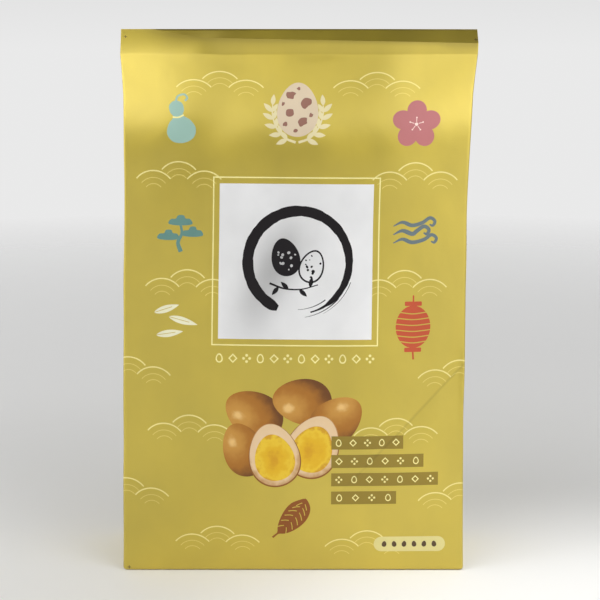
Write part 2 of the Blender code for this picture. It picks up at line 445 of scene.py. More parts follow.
def loop(points, per_side=5):
    """A smooth closed outline through points (Catmull-Rom)."""
    p = np.asarray(points, float)
    found = []
    for i in range(len(p)):
        a, b, c, d = (p[(i + k) % len(p)] for k in (-1, 0, 1, 2))
        for f in np.linspace(0, 1, per_side, endpoint=False):
            bend = 2 * a - 5 * b + 4 * c - d + f * (3 * (b - c) + d - a)
            found.append(b + 0.5 * f * (c - a + f * bend))
    return np.array(found)


def leaf_outline(length, width, count=12):
    """A pointed leaf from the origin along +s."""
    t = np.linspace(0, 1, count)
    half = width / 2 * np.sin(math.pi * t**0.85) ** 0.9
    upper = np.stack([length * t, half], 1)
    return np.concatenate([upper, (upper * (1, -1))[::-1][1:-1]])


PRINT_TILT = 0.007
PRINT_SCALE = 0.9945
PRINT_SHIFT = (0.35, -2.70)
PRINT_HALF = 102
PLAIN_FRAME = ((0.0, 0.0), (1.0, 1.0), 0.0)
ART = []


def on_film(points):
    """The places on the flat film of points of the print, whose front part is set a little askew."""
    s, v = points[:, 0], points[:, 1]
    shifted = np.stack([s + PRINT_SHIFT[0], PRINT_SCALE * v + PRINT_SHIFT[1] - PRINT_TILT * s], 1)
    return np.where(np.abs(points[:, :1]) < PRINT_HALF, shifted, points + (0.0, PRINT_SHIFT[1]))


def draw(ink, outline, at, turn=0.0, frame_of=PLAIN_FRAME):
    """Adds a field of ink. frame_of is a middle, half size and turn that its material may read."""
    points = moved(outline, at, turn)
    after = np.roll(points, -1, axis=0)
    if np.sum(points[:, 0] * after[:, 1] - points[:, 1] * after[:, 0]) < 0:
        points = points[::-1]
    ART.append((ink, points, frame_of))


# The print of the front

WAVE_PITCH = 11.3
WAVE_RISE = 3.95
WAVE_LINES = ((10.0, 0.56, "wave"), (7.05, 0.34, "faint"), (4.45, 0.34, "faint"))
WAVE_HALF_ANGLE = 49
WAVES = (
    (-34.3, 214.2), (33.6, 214.2), (-52.3, 173.8), (52.1, 173.9), (-47.9, 127.8), (48.3, 128.1),
    (-74.2, 89.2), (73.9, 88.7), (-46.7, 64.7), (45.4, 63.9), (-75.1, 35.4), (74.6, 34.1),
    (-34.4, 14.6), (32.8, 12.9),
)
LABEL_MIDDLE = (-0.1, 141.6)
LABEL_FRAME = (73.9, 72.1)
LABEL_LINE = 0.56
LABEL_WHITE = (68.0, 66.3)


def wave_cluster(at):
    """Three scallops of the old wave pattern, the middle one raised."""
    for step in (-1, 0, 1):
        middle = (at[0] + step * WAVE_PITCH, at[1] - abs(step) * WAVE_RISE)
        for radius, width, ink in WAVE_LINES:
            path = arc(radius, 90 + WAVE_HALF_ANGLE, 90 - WAVE_HALF_ANGLE, 20)
            draw(ink, stroke(path, width), middle)


def label():
    """The white square with its cream frame line."""
    s, v = LABEL_MIDDLE
    wide, tall = LABEL_FRAME
    for sign in (-1, 1):
        draw("cream", box_outline(LABEL_LINE, tall), (s + sign * (wide - LABEL_LINE) / 2, v))
        draw("cream", box_outline(wide, LABEL_LINE), (s, v + sign * (tall - LABEL_LINE) / 2))
    draw("white", box_outline(*LABEL_WHITE), LABEL_MIDDLE)


def brush_ring(at, radius):
    """A circle in one brush stroke, full where it starts and dry where it ends."""
    a, t = np.radians(np.linspace(248, -74, 90)), np.linspace(0, 1, 90)
    rough = 0.16 * np.sin(t * 71) + 0.12 * np.sin(t * 157 + 1) + 0.08 * np.sin(t * 331)
    widths = (4.6 - 2.6 * t + 1.2 * np.sin(math.pi * t)) * (1 - 0.75 * smooth(t, 0.88, 1.0))
    widths = widths * smooth(t, -0.03, 0.03) + rough
    spin = radius + 0.9 * t - 0.5 * np.sin(2 * math.pi * t)
    path = np.stack([spin * np.cos(a), 0.97 * spin * np.sin(a)], 1)
    draw("black", stroke(path, widths), at)
    for gap, start, end, width in ((1.9, -40, -81, 0.5), (-1.7, -52, -88, 0.45), (2.9, -20, -62, 0.3)):
        dry = arc(radius + 0.6 + gap, start, end, 22) * (1, 0.97)
        draw("black", stroke(dry, width * np.linspace(1, 0.3, 22)), at)


def ink_egg(at, width, height, turn, filled, seed):
    """A small egg in black ink, either solid with pale speckles or a line with dark ones."""
    rng = np.random.default_rng(seed)
    draw("black", egg_outline(width, height), at, turn)
    if not filled:
        draw("white", egg_outline(width - 1.5, height - 1.5), at, turn)
    for _ in range(11):
        a, r = rng.uniform(0, 2 * math.pi), 0.36 * math.sqrt(rng.uniform(0, 1))
        spot = (width * r * math.cos(a), height * r * math.sin(a))
        size = rng.uniform(0.6, 1.7)
        shape = oval(size, size * rng.uniform(0.6, 1.0), 10)
        place = moved([spot], at, turn)[0]
        draw("white" if filled else "black", shape, place, rng.uniform(0, 180))


def label_ornament():
    """A brush circle round two eggs and a sprig."""
    s, v = LABEL_MIDDLE
    brush_ring((s + 0.5, v), 22.0)
    ink_egg((s - 4.6, v + 2.0), 12.5, 16.5, 14, True, 3)
    ink_egg((s + 7.2, v - 1.8), 11.0, 14.5, -20, False, 5)
    stem = curve([(-11.5, -9.2), (-5.0, -11.4), (2.5, -11.6), (10.0, -9.6)], 20)
    draw("black", stroke(stem, np.linspace(0.9, 0.4, 20)), (s, v))
    for i, bearing in ((4, -130), (8, 138), (12, -40), (16, 78)):
        draw("black", leaf_outline(4.6, 1.9), stem[i] + (s, v), bearing)


def small_mark(kind, at, size, ground):
    """One of three small cream marks: an egg, a diamond or four dots, on a ground of another ink."""
    if kind == 0:
        draw("cream", egg_outline(2.9 * size, 3.8 * size, 18), at)
        draw(ground, egg_outline(1.9 * size, 2.7 * size, 18), at)
    elif kind == 1:
        draw("cream", box_outline(2.7 * size, 2.7 * size), at, 45)
        draw(ground, box_outline(1.7 * size, 1.7 * size), at, 45)
    else:
        dot = oval(1.15 * size, 1.15 * size, 10)
        for x, y in ((-1.25, 0), (1.25, 0), (0, -1.25), (0, 1.25)):
            draw("cream", dot, (at[0] + x * size, at[1] + y * size))


BEAD_COUNT = 12
BEAD_FIRST = (-33.5, 100.1)
BEAD_PITCH = 6.08
BEAD_SIZE = 1.08


def beads():
    """A row of small cream marks under the label."""
    s, v = BEAD_FIRST
    for i in range(BEAD_COUNT):
        small_mark(i % 3, (s + BEAD_PITCH * i, v), BEAD_SIZE, "film")


def blossom(at, size):
    """A plum blossom of five round petals."""
    bearings = range(90, 450, 72)
    for bearing in bearings:
        middle = moved(arc(size * 0.29, bearing, bearing, 1), at)[0]
        draw("pink", oval(size * 0.43, size * 0.40, 26), middle, bearing)
    draw("pink", oval(size * 0.4, size * 0.4, 24), at)
    for bearing in bearings:
        tip = arc(1.0, bearing, bearing, 1)[0]
        draw("rose", stroke([tip, tip * 2.7], 0.28), at)
        draw("rose", oval(0.7, 0.7, 10), tip * 3.0 + at)
    draw("rose", oval(1.5, 1.5, 14), at)


def gourd(at):
    """A light blue gourd with a curling stalk."""
    left = [(-2.8, 7.6), (-3.1, 4.4), (-2.2, 2.0), (-4.8, -0.6), (-6.4, -4.6), (-4.6, -8.4)]
    right = [(-x, y) for x, y in reversed(left)]
    draw("sky", loop([(0, 9.2), *left, (0, -9.8), *right]), at, 12)
    stalk = curve([(-0.6, 8.6), (0.6, 11.0), (3.4, 11.6), (4.6, 9.8), (3.4, 8.6)], 18)
    draw("sky", stroke(stalk, 0.9), at, 6)
    draw("cream", stroke(curve([(-2.5, 2.1), (0, 1.5), (2.5, 2.1)], 9), 0.7), at, 12)


def pine(at):
    """A teal pine of three cloud-like tufts on a trunk."""
    trunk = curve([(0.5, -8.5), (-0.8, -4.5), (0.9, -0.5), (0.0, 4.0)], 14)
    draw("teal", stroke(trunk, np.linspace(2.0, 1.0, 14)), at)
    for x, y, wide in ((-5.2, -1.9, 9.6), (5.6, -0.4, 9.2), (0.2, 4.4, 10.4)):
        tuft = [(-wide / 2, -1.1), (-wide * 0.42, 0.9), (-wide * 0.2, 1.2), (-wide * 0.1, 2.6),
                (wide * 0.14, 2.6), (wide * 0.22, 1.3), (wide * 0.42, 1.0), (wide / 2, -1.1), (0, -1.7)]
        draw("teal", loop(tuft, 4), (at[0] + x, at[1] + y))


def stream(at):
    """Three slate lines of running water that end in curls."""
    for lift, reach, width in ((3.6, 0.0, 1.7), (0.0, -2.6, 1.9), (-3.6, 0.8, 1.7)):
        line = [(-9.6, lift - 1.2), (-5.6, lift + 0.5), (-1.2, lift - 0.9), (3.4 + reach, lift + 0.3),
                (6.6 + reach, lift + 2.3), (8.9 + reach, lift + 0.9), (8.0 + reach, lift - 1.0),
                (6.5 + reach, lift - 0.5)]
        widths = width * np.interp(np.linspace(0, 1, 30), (0, 0.2, 0.8, 1), (0.25, 1, 0.8, 0.35))
        draw("slate", stroke(curve(line, 30), widths), at)


def lantern(at):
    """A red paper lantern with its hoops."""
    draw("red", oval(15.6, 18.4, 40), at)
    for y in (-6.3, -3.8, -1.3, 1.3, 3.8, 6.3):
        half = 7.8 * math.sqrt(1 - (y / 9.2) ** 2) + 0.2
        hoop = curve([(-half, y), (0, y - 0.7), (half, y)], 14)
        draw("film", stroke(hoop, 0.42), at)
    for sign in (-1, 1):
        draw("red", box_outline(7.6, 1.9, 0.4), (at[0], at[1] + sign * 10.0))
    draw("red", stroke([(0, 10.5), (0, 13.6)], 0.7), at)
    draw("red", stroke([(0, -10.5), (0.3, -14.2)], 0.8), at)


def leaves(at):
    """Three pale leaves adrift."""
    for x, y, turn, size in ((-4.6, 5.2, 18, 12.0), (2.8, 0.2, -14, 13.5), (-3.2, -5.4, 9, 12.5)):
        middle = (at[0] + x, at[1] + y)
        draw("pale", moved(leaf_outline(size, 3.1), (-size / 2, 0)), middle, turn)
        draw("film", stroke([(-size * 0.62, 0), (size * 0.22, 0.1)], 0.26), middle, turn)


# The speckles of the egg at the top: the place on it, the size and the turn
SPECKLES = (
    (-3.2, 6.4, 4.6, 20), (3.6, 3.0, 5.4, 70), (-3.4, -1.6, 4.2, 130), (2.2, -5.6, 4.8, 10),
    (-5.4, -6.6, 2.4, 60), (5.8, -2.6, 2.2, 95), (0.2, 9.4, 1.8, 0), (-6.4, 2.4, 2.0, 80),
    (-0.8, -9.4, 2.0, 30),
)


def spray(at, sign):
    """A curved stem with pairs of pale leaves, on one side of the egg."""
    stem = curve([(0.6, -14.6), (5.2, -12.8), (9.0, -8.6), (10.9, -3.0), (11.0, 1.8)], 26) * (sign, 1)
    draw("spray", stroke(stem, np.linspace(1.1, 0.5, 26)), at)
    for i, bearing in ((5, 10), (9, 30), (13, 48), (17, 64), (21, 80)):
        turn = bearing if sign > 0 else 180 - bearing
        draw("spray", leaf_outline(5.4, 2.2), stem[i] + at, turn - sign * 34)
        draw("spray", leaf_outline(4.4, 1.9), stem[i] + at, turn + sign * 42)
    draw("spray", leaf_outline(5.0, 2.1), stem[-1] + at, 90 + sign * 6)


def speckle(at, size, turn, seed):
    """An uneven blot."""
    rng = np.random.default_rng(seed)
    rim = []
    for a in np.linspace(0, 2 * math.pi, 9, endpoint=False):
        x = size / 2 * rng.uniform(0.62, 1.15) * math.cos(a)
        rim.append((x, size / 2 * rng.uniform(0.5, 1.0) * math.sin(a)))
    draw("speck", loop(rim, 4), at, turn)


def spotted_egg(at):
    """A speckled egg cradled by two pale sprays of leaves."""
    for sign in (-1, 1):
        spray(at, sign)
    draw("shell", egg_outline(17.8, 24.4, 60), at)
    for x, y, size, turn in SPECKLES:
        speckle((at[0] + x, at[1] + y), size, turn, int(100 * abs(x + y)))


def feather(at):
    """A brown feather with pale bars."""
    rib = curve([(-8.6, -8.8), (-4.4, -5.0), (0.6, 0.6), (4.4, 5.6), (6.4, 9.6)], 30)
    t = np.linspace(0, 1, 30)
    widths = 10.2 * np.sin(math.pi * np.clip((t - 0.16) / 0.84, 0, 1)) ** 0.75 + 0.9 * (1 - t)
    draw("brown", stroke(rib, widths), at)
    for i in range(9, 27, 3):
        along = rib[i + 1] - rib[i]
        bearing = math.degrees(math.atan2(along[1], along[0]))
        reach = widths[i] * 0.36
        for sign in (-1, 1):
            bar = curve([(0.4, sign * 0.7), (-0.5, sign * reach * 0.6), (-1.9, sign * reach)], 8)
            draw("film", stroke(bar, 0.36), rib[i] + at, bearing)


RIND = 0.9
RIND_LIFT = 0.25
YOLK_DROP = 0.035
YOLK_SHARE = (0.77, 0.73)


def egg_field(ink, at, size, turn, count, frame_of=None):
    """An egg of ink, whose material reads its own or another egg's middle, half size and turn."""
    frame_of = frame_of or (tuple(at), (size[0] / 2, size[1] / 2), turn)
    draw(ink, egg_outline(*size, count), at, turn, frame_of)
    return frame_of


def half_egg(at, size, turn):
    """A cut egg: a brown rim, the white and the yolk."""
    rim = egg_field("rind", at, size, turn, 60)
    egg_field("albumen", (at[0], at[1] + RIND_LIFT), (size[0] - RIND, size[1] - RIND), turn, 60, rim)
    yolk = moved([(0, -YOLK_DROP * size[1])], at, turn)[0]
    egg_field("yolk", yolk, (size[0] * YOLK_SHARE[0], size[1] * YOLK_SHARE[1]), turn, 50)


def egg_picture():
    """Smoked eggs in a loose group, two of them cut."""
    egg_field("smoked", (-18.0, 75.5), (20.5, 27.0), 62, 56)
    egg_field("smoked", (3.5, 81.5), (20.0, 26.5), 84, 56)
    egg_field("smoked", (18.6, 73.0), (19.5, 26.0), -52, 56)
    half_egg((8.6, 61.4), (23.5, 29.0), -24)
    egg_field("smoked", (-22.5, 60.0), (18.5, 24.5), 24, 56)
    half_egg((-9.0, 57.6), (23.0, 28.5), 12)


# The bars' lengths and heights on the film
BARS = ((32.2, 63.3), (41.4, 55.0), (48.0, 46.7), (29.2, 38.4))
BAR_LEFT = 16.6
BAR_HEIGHT = 5.9
BAR_MARGIN = 1.0
BAR_MARK_ROOM = 6.0
BAR_MARK_SIZE = 0.88


def bars():
    """Four brown bars with rows of small cream marks."""
    for row, (length, v) in enumerate(BARS):
        draw("bar", box_outline(length, BAR_HEIGHT), (BAR_LEFT + length / 2, v))
        count = int((length - BAR_MARGIN) / BAR_MARK_ROOM)
        for i in range(count):
            at = (BAR_LEFT + length * (i + 0.5) / count, v)
            small_mark((i + row) % 3, at, BAR_MARK_SIZE, "bar")


PILL_MIDDLE = (52.0, 16.6)
PILL_SIZE = (32.2, 7.0)
PILL_CORNER = 3.45
PILL_EGGS = 6
PILL_FIRST = 40.6
PILL_PITCH = 4.5
PILL_EGG_TURN = 8


def pill():
    """A cream lozenge with a row of small brown eggs."""
    draw("pill", box_outline(*PILL_SIZE, PILL_CORNER), PILL_MIDDLE)
    for i in range(PILL_EGGS):
        at = (PILL_FIRST + PILL_PITCH * i, PILL_MIDDLE[1])
        draw("umber", egg_outline(2.1, 2.8, 16), at, PILL_EGG_TURN if i % 2 else -PILL_EGG_TURN)


REGISTER_MARKS = ((-75.2, 239.9), (75.6, 239.4), (-74.4, 4.6))
REGISTER_ARM = (1.5, 0.28)


def register_marks():
    """Small printed crosses near three corners."""
    for at in REGISTER_MARKS:
        for size in (REGISTER_ARM, REGISTER_ARM[::-1]):
            draw("umber", box_outline(*size), at)


def front_print():
    for at in WAVES:
        wave_cluster(at)
    spotted_egg((-0.4, 207.0))
    gourd((-52.0, 201.5))
    blossom((51.6, 200.6), 21.5)
    pine((-51.6, 154.0))
    stream((52.6, 154.6))
    leaves((-52.6, 115.6))
    lantern((52.4, 113.8))
    label()
    label_ornament()
    beads()
    egg_picture()
    bars()
    feather((-1.0, 28.6))
    pill()
    register_marks()


# Clusters of waves on the back: the distance from its middle, and the height
BACK_WAVES = (
    (34.0, 208.0), (58.0, 178.0), (30.0, 148.0), (56.0, 118.0), (34.0, 88.0), (58.0, 58.0), (32.0, 28.0),
)


def back_print():
    """The wave pattern again on the back, clear of the fin seam."""
    for s, v in BACK_WAVES:
        for sign in (-1, 1):
            wave_cluster((sign * (BACK_MIDDLE / MM - s), v))


# The sheet


def steps(stops):
    """Places from stop to stop: ((start, spacing), ..., (end, 0))."""
    found = []
    for (start, spacing), (end, _) in zip(stops, stops[1:]):
        count = max(1, round((end - start) / spacing))
        found += [start + (end - start) * i / count for i in range(count)]
    return found + [stops[-1][0]]


def sheet_columns():
    """Places across the sheet, closer together at its creases."""
    panel = steps(((0.0, 0.0022), (0.066, 0.0010), (0.0748, 0.0004), (PANEL_EDGE, 0)))
    side = steps((
        (GUSSET_EDGE, 0.0004), (0.0796, 0.0009), (0.088, 0.0018), (0.1002, 0.0006), (GUSSET_CREASE, 0),
    ))
    half = panel + side
    half += [2 * GUSSET_CREASE - q for q in reversed(half[:-1])]
    return sorted(set([-s for s in half] + half))


def sheet_rows():
    """Places up the sheet, closer together at the base's edge, the seal and the fold."""
    foot, fold = film_of(SEAL_FOOT), film_of(FOLD_FOOT)
    edge = film_of(BASE_EDGE)
    return steps((
        (-FLAP, 0.0030), (0.0, 0.0007), (edge, 0.0022), (foot - 0.012, 0.0012), (foot - 0.002, 0.0005),
        (foot + 0.001, 0.0009), (fold - 0.001, 0.0005), (fold + 0.002, 0.0009), (FILM_TOP, 0.0002),
        (FILM_TOP + WALL, 0),
    ))


# In millimetres of flat film
OUTLINE_STEP = 1.3
CREASE_GUIDES = (-5.2, -3.3, -1.9, -0.85, 0.0, 0.85, 1.9, 3.3)
CREASE_POINTS = 110
GRID_ROOM = 0.62


def dense(outline):
    """An outline with no long side."""
    found = []
    for a, b in zip(outline, np.roll(outline, -1, axis=0)):
        count = max(1, math.ceil(float(np.hypot(*(b - a))) / OUTLINE_STEP))
        found += [a + (b - a) * i / count for i in range(count)]
    return np.array(found)


def fold_guides():
    """The header's fold across the front and both halves of the back, on the flat sheet."""
    x = np.linspace(-PANEL_EDGE, PANEL_EDGE, 400)
    x = x[fold_line(x) < HEIGHT - 0.0001][::2]
    front = np.stack([x, film_of(fold_line(x))], 1)
    right, left = front[front[:, 0] > 0], front[front[:, 0] < 0]
    return [
        front / MM,
        np.stack([BACK_MIDDLE - right[:, 0], right[:, 1]], 1) / MM,
        np.stack([-BACK_MIDDLE - left[:, 0], left[:, 1]], 1) / MM,
    ]


def crease_guides():
    """Lines along the diagonal crease and beside it, on the flat sheet."""
    run = np.linspace(np.array(CREASE_FROM) / MM, np.array(CREASE_TO) / MM, CREASE_POINTS)
    across = (run[-1] - run[0])[::-1] * (1, -1) / np.hypot(*(run[-1] - run[0]))
    return [run + across * off for off in CREASE_GUIDES]


def add_points(points, line):
    """Adds a line's points to a list and returns their numbers in it."""
    start = len(points)
    points += [tuple(p) for p in line]
    return list(range(start, len(points)))


def whole_lines(places, folds, reach):
    """The numbers of the grid lines that lie on a fold or at an end, and so keep all their points."""
    on_fold = {i for i, at in enumerate(places) if min(abs(at - k / MM) for k in folds) < reach}
    return {0, len(places) - 1} | on_fold


def add_grid(points):
    """Adds the grid's points that are clear of the points so far, and returns its whole lines."""
    tree = kdtree.KDTree(len(points))
    for i, p in enumerate(points):
        tree.insert((*p, 0.0), i)
    tree.balance()
    columns = [s / MM for s in sheet_columns()]
    rows = [v / MM for v in sheet_rows()]
    folds = (PANEL_EDGE, GUSSET_EDGE, GUSSET_CREASE, BACK_EDGE)
    kept_columns = whole_lines([abs(s) for s in columns], folds, 1e-6)
    kept_rows = whole_lines(rows, (0.0, film_of(SEAL_FOOT), FILM_TOP), 1e-3)
    lines = {}
    for i, s in enumerate(columns):
        for j, v in enumerate(rows):
            kept = [("column", i)] * (i in kept_columns) + [("row", j)] * (j in kept_rows)
            if kept or tree.find((s, v, 0.0))[2] > GRID_ROOM:
                for line in kept:
                    lines.setdefault(line, []).append(len(points))
                points.append((s, v))
    return list(lines.values())


def cut_sheet():
    """The flat sheet cut along the print: points, triangles and the art on each, or -1."""
    points = []
    fields = [add_points(points, on_film(dense(outline))) for _, outline, _ in ART]
    lines = [add_points(points, line) for line in fold_guides() + crease_guides()]
    lines += add_grid(points)
    edges = [pair for line in lines for pair in zip(line, line[1:])]
    found = geometry.delaunay_2d_cdt([Vector(p) for p in points], edges, fields, 0, 1e-5, True)
    flat = np.array([tuple(p) for p in found[0]])
    art = [max(ids) if ids else -1 for ids in found[5]]
    return flat, found[2], art


def in_seal(at):
    """Whether a place on the flat sheet is in the gusset's part of the seal, which is hidden."""
    hidden = GUSSET_EDGE / MM < abs(at[0]) < (2 * GUSSET_CREASE - GUSSET_EDGE) / MM
    return hidden and at[1] > film_of(SEAL_FOOT) / MM


def mark_sharp(mesh, s, z):
    """Marks the header's fold and the seal's ends as sharp."""
    x = np.where(np.abs(s) > GUSSET_CREASE, np.sign(s) * (BACK_MIDDLE - np.abs(s)), s)
    on_fold = np.abs(z - fold_line(x)) < 1e-5
    on_end = (z > SEAL_FOOT - 1e-6) & (np.abs(np.abs(x) - PANEL_EDGE) < 1e-6)
    for edge in mesh.edges:
        low, high = edge.vertices
        edge.use_edge_sharp = bool((on_fold[low] and on_fold[high]) or (on_end[low] and on_end[high]))


def dress(mesh, flat, art, s, z):
    """Gives each face its ink, and each corner its painted shade and its places on the film and the art.
    """
    # Painted shade at each point: a darker colour that stands in for shade
    crease_painted_shade, above_line = crease_shade(s, z), z - fold_line(s)
    under, above, dent_painted_shade = header_shade(s, z) + crease_painted_shade, strip_shade(s) + crease_painted_shade, label_shade(s, z)
    shade = mesh.attributes.new("shade", "FLOAT", "CORNER")
    film_map = mesh.uv_layers.new(name="film")
    art_map = mesh.uv_layers.new(name="art")
    for polygon, piece in zip(mesh.polygons, art):
        polygon.use_smooth = True
        ink, _, (middle, half, turn) = ART[piece] if piece >= 0 else ("film", None, PLAIN_FRAME)
        middle = on_film(np.array([middle]))[0]
        polygon.material_index = INKS.index(ink)
        # Painted shade: under the fold or on the strip above it, plus the crease's; white ink takes the
        # label's dent shade instead
        folded = under if above_line[list(polygon.vertices)].sum() < 0 else above
        painted_shade = dent_painted_shade if ink == "white" else folded
        for corner in polygon.loop_indices:
            point = mesh.loops[corner].vertex_index
            at = flat[point]
            shade.data[corner].value = painted_shade[point]
            film_map.data[corner].uv = at * MM
            local = moved([at - middle], turn=-turn)[0]
            art_map.data[corner].uv = (local[0] / half[0], local[1] / half[1])


def film_mesh():
    """The sheet as a mesh in its final shape, with an ink for each face."""
    flat, faces, art = cut_sheet()
    shown = [i for i, face in enumerate(faces) if not in_seal(flat[list(face)].mean(axis=0))]
    s, v = flat[:, 0] * MM, flat[:, 1] * MM
    mesh = new_mesh("film", shaped(s, v), [faces[i] for i in shown])
    mark_sharp(mesh, s, height_of(v))
    dress(mesh, flat, [art[i] for i in shown], s, height_of(v))
    return mesh


# Materials


def linear(screen):
    """A colour given as screen values from 0 to 255, as linear light."""
    light = [((c / 255 + 0.055) / 1.055) ** 2.4 if c > 10 else c / 3294.6 for c in screen]
    return (*light, 1.0)


class Nodes:
    """A short way to set up the nodes of a material or the world."""

    def __init__(self, made, shader="Principled BSDF"):
        made.use_nodes = True
        self.made, self.tree = made, made.node_tree
        self.shader = self.tree.nodes[shader]

    def fill(self, node, given):
        """Gives a node's inputs, by name or number, constants or what other nodes put out."""
        for key, value in dict(given).items():
            if isinstance(value, bpy.types.NodeSocket):
                self.tree.links.new(value, node.inputs[key])
            else:
                node.inputs[key].default_value = value

    def add(self, kind, given=(), out=0, **settings):
        """Adds a node and returns one of its outputs."""
        node = self.tree.nodes.new("ShaderNode" + kind)
        for key, value in settings.items():
            setattr(node, key, value)
        self.fill(node, given)
        return node.outputs[out]

    def noise(self, scale, detail):
        """Noise on the flat film, with a scale round and up the pouch in waves a metre."""
        place = {"Vector": self.add("UVMap", uv_map="film"), "Scale": (*scale, 1)}
        given = {"Vector": self.add("Mapping", place), "Scale": 1.0, "Detail": detail}
        return self.add("TexNoise", given, "Fac")

    def span(self, value, low, high, to_low, to_high):
        return self.add("MapRange", enumerate((value, low, high, to_low, to_high)))

    def mix(self, share, a, b):
        return self.add("Mix", {"Factor": share, "A": a, "B": b}, "Result", data_type="RGBA")

    def length(self, vector):
        return self.add("VectorMath", {0: vector}, "Value", operation="LENGTH")

    def bump(self, height, strength, distance, **under):
        given = {"Height": height, "Strength": strength, "Distance": distance}
        return self.add("Bump", given | under)

    def ramp(self, value, stops, interpolation):
        """A colour that runs through (place, colour) stops."""
        shown = self.add("ValToRGB", {0: value})
        ramp = shown.node.color_ramp
        ramp.interpolation = interpolation
        while len(ramp.elements) < len(stops):
            ramp.elements.new(0.5)
        for element, (place, colour) in zip(ramp.elements, stops):
            element.position, element.color = place, colour
        return shown


# Noise scales, and the range of the noise that is used
GRAIN = (700, 1100)
WAVINESS = (90, 70)
MOTTLING = (38, 30)
BLOTCHES = (260, 260)
NOISE_RANGE = (0.3, 0.7)
MOTTLED_COLOUR = (0.93, 1.05)
MOTTLED_ROUGHNESS = 0.03
GRAIN_BUMP = (0.18, 0.00012)
WAVINESS_BUMP = (0.25, 0.0010)


def satin(name, colour, metallic, roughness, coat=(0.12, 0.38, 1.5), painted_shade_scale=(0.3, 0.3, 0.3)):
    """Satin film, slightly mottled in colour and gloss, its fine grain drawn out round the pouch."""
    nodes = Nodes(bpy.data.materials.new(name))
    cloud = nodes.noise(MOTTLING, 3.0)
    deep, light = ((*(min(c * share, 1.0) for c in colour[:3]), 1.0) for share in MOTTLED_COLOUR)
    # Painted shade: where the mesh's shade value is set, the colour is mixed toward this darker tint
    dark = (*(c * share for c, share in zip(colour, painted_shade_scale)), 1.0)
    shade = nodes.add("Attribute", out="Fac", attribute_name="shade")
    mottled = nodes.mix(nodes.span(cloud, *NOISE_RANGE, 0.0, 1.0), deep, light)
    gloss = (roughness - MOTTLED_ROUGHNESS, roughness + MOTTLED_ROUGHNESS)
    low = nodes.bump(nodes.noise(WAVINESS, 2.0), *WAVINESS_BUMP)
    nodes.fill(nodes.shader, zip(("Coat Weight", "Coat Roughness", "Coat IOR"), coat))
    nodes.fill(nodes.shader, {
        "Base Color": nodes.mix(shade, mottled, dark),
        "Roughness": nodes.span(cloud, *NOISE_RANGE, *gloss),
        "Metallic": metallic,
        "Normal": nodes.bump(nodes.noise(GRAIN, 2.0), *GRAIN_BUMP, Normal=low),
    })
    return nodes


def film_material():
    colour, coat = (0.608, 0.470, 0.047, 1.0), (0.9, 0.33, 1.65)
    # The last tint scales the film colour for its painted shade, keeping it golden brown
    return satin("film", colour, 0.86, 0.415, coat, (0.34, 0.30, 0.0)).made


def flat_ink(name, colour, metallic=0.12, roughness=0.46, specular=0.5):
    nodes = satin("ink_" + name, linear(colour), metallic, roughness)
    nodes.fill(nodes.shader, {"Specular IOR Level": specular})
    return nodes.made


def shaded_ink(name, spot, blotch, stops):
    """A slightly blotchy ink: (distance, colour) stops from a spot in the art's square of -1 to 1."""
    nodes = satin("ink_" + name, linear(stops[0][1]), 0.1, 0.45)
    from_spot = {0: nodes.add("UVMap", uv_map="art"), 1: (*spot, 0.0)}
    away = nodes.length(nodes.add("VectorMath", from_spot, operation="SUBTRACT"))
    blots = nodes.span(nodes.noise(BLOTCHES, 3.0), *NOISE_RANGE, -blotch, blotch)
    uneven = nodes.add("Math", {0: away, 1: blots}, operation="ADD")
    reach = stops[-1][0]
    share = nodes.span(uneven, 0.0, reach, 0.0, 1.0)
    shown = nodes.ramp(share, [(at / reach, linear(colour)) for at, colour in stops], "EASE")
    nodes.fill(nodes.shader, {"Base Color": shown})
    return nodes.made


# Flat inks: the screen colour, then the metallic share, roughness and specular level if not the usual
FLAT_INKS = {
    "cream": ((246, 236, 158), 0.2),
    "wave": ((240, 227, 146), 0.3),
    "faint": ((226, 208, 112), 0.4),
    "white": ((240, 240, 240), 0.5, 0.42),
    "black": ((24, 20, 23), 0.0, 0.46, 0.15),
    "pink": ((190, 115, 116),),
    "rose": ((250, 224, 214),),
    "sky": ((152, 188, 175),),
    "slate": ((102, 117, 121),),
    "teal": ((96, 140, 132),),
    "red": ((196, 80, 43),),
    "pale": ((234, 231, 198),),
    "spray": ((228, 216, 168),),
    "shell": ((218, 199, 170),),
    "speck": ((148, 102, 86),),
    "brown": ((140, 76, 8),),
    "umber": ((84, 62, 34),),
    "bar": ((150, 128, 48), 0.45),
    "pill": ((224, 213, 142), 0.2),
}
# Shaded inks of the egg picture: the spot, the blotchiness and the (distance, screen colour) stops
SHADED_INKS = {
    "smoked": ((-0.35, 0.45), 0.08, (
        (0.0, (230, 188, 116)), (0.28, (196, 142, 58)), (0.9, (167, 107, 24)), (1.5, (106, 60, 4)),
    )),
    "rind": ((0.0, 0.6), 0.08, ((0.0, (204, 150, 84)), (1.3, (140, 84, 24)))),
    "albumen": ((0.0, 0.1), 0.08, (
        (0.0, (233, 209, 172)), (0.85, (227, 196, 154)), (1.12, (190, 143, 88)),
    )),
    "yolk": ((0.0, -0.1), 0.22, (
        (0.0, (212, 156, 4)), (0.5, (225, 178, 14)), (0.85, (232, 194, 42)), (1.1, (208, 154, 22)),
    )),
}
INKS = ["film", *FLAT_INKS, *SHADED_INKS]


def materials():
    """The film and the inks, in the order of their names in INKS."""
    flat = [flat_ink(name, *looks) for name, looks in FLAT_INKS.items()]
    return [film_material(), *flat, *(shaded_ink(name, *looks) for name, looks in SHADED_INKS.items())]


# Pieces


def linked(name, data):
    """A new object in the scene."""
    made = bpy.data.objects.new(name, data)
    bpy.context.scene.collection.objects.link(made)
    return made


def new_mesh(name, points, faces):
    mesh = bpy.data.meshes.new(name)
    mesh.from_pydata(points.reshape(-1, 3).tolist(), [], faces)
    mesh.update()
    return mesh


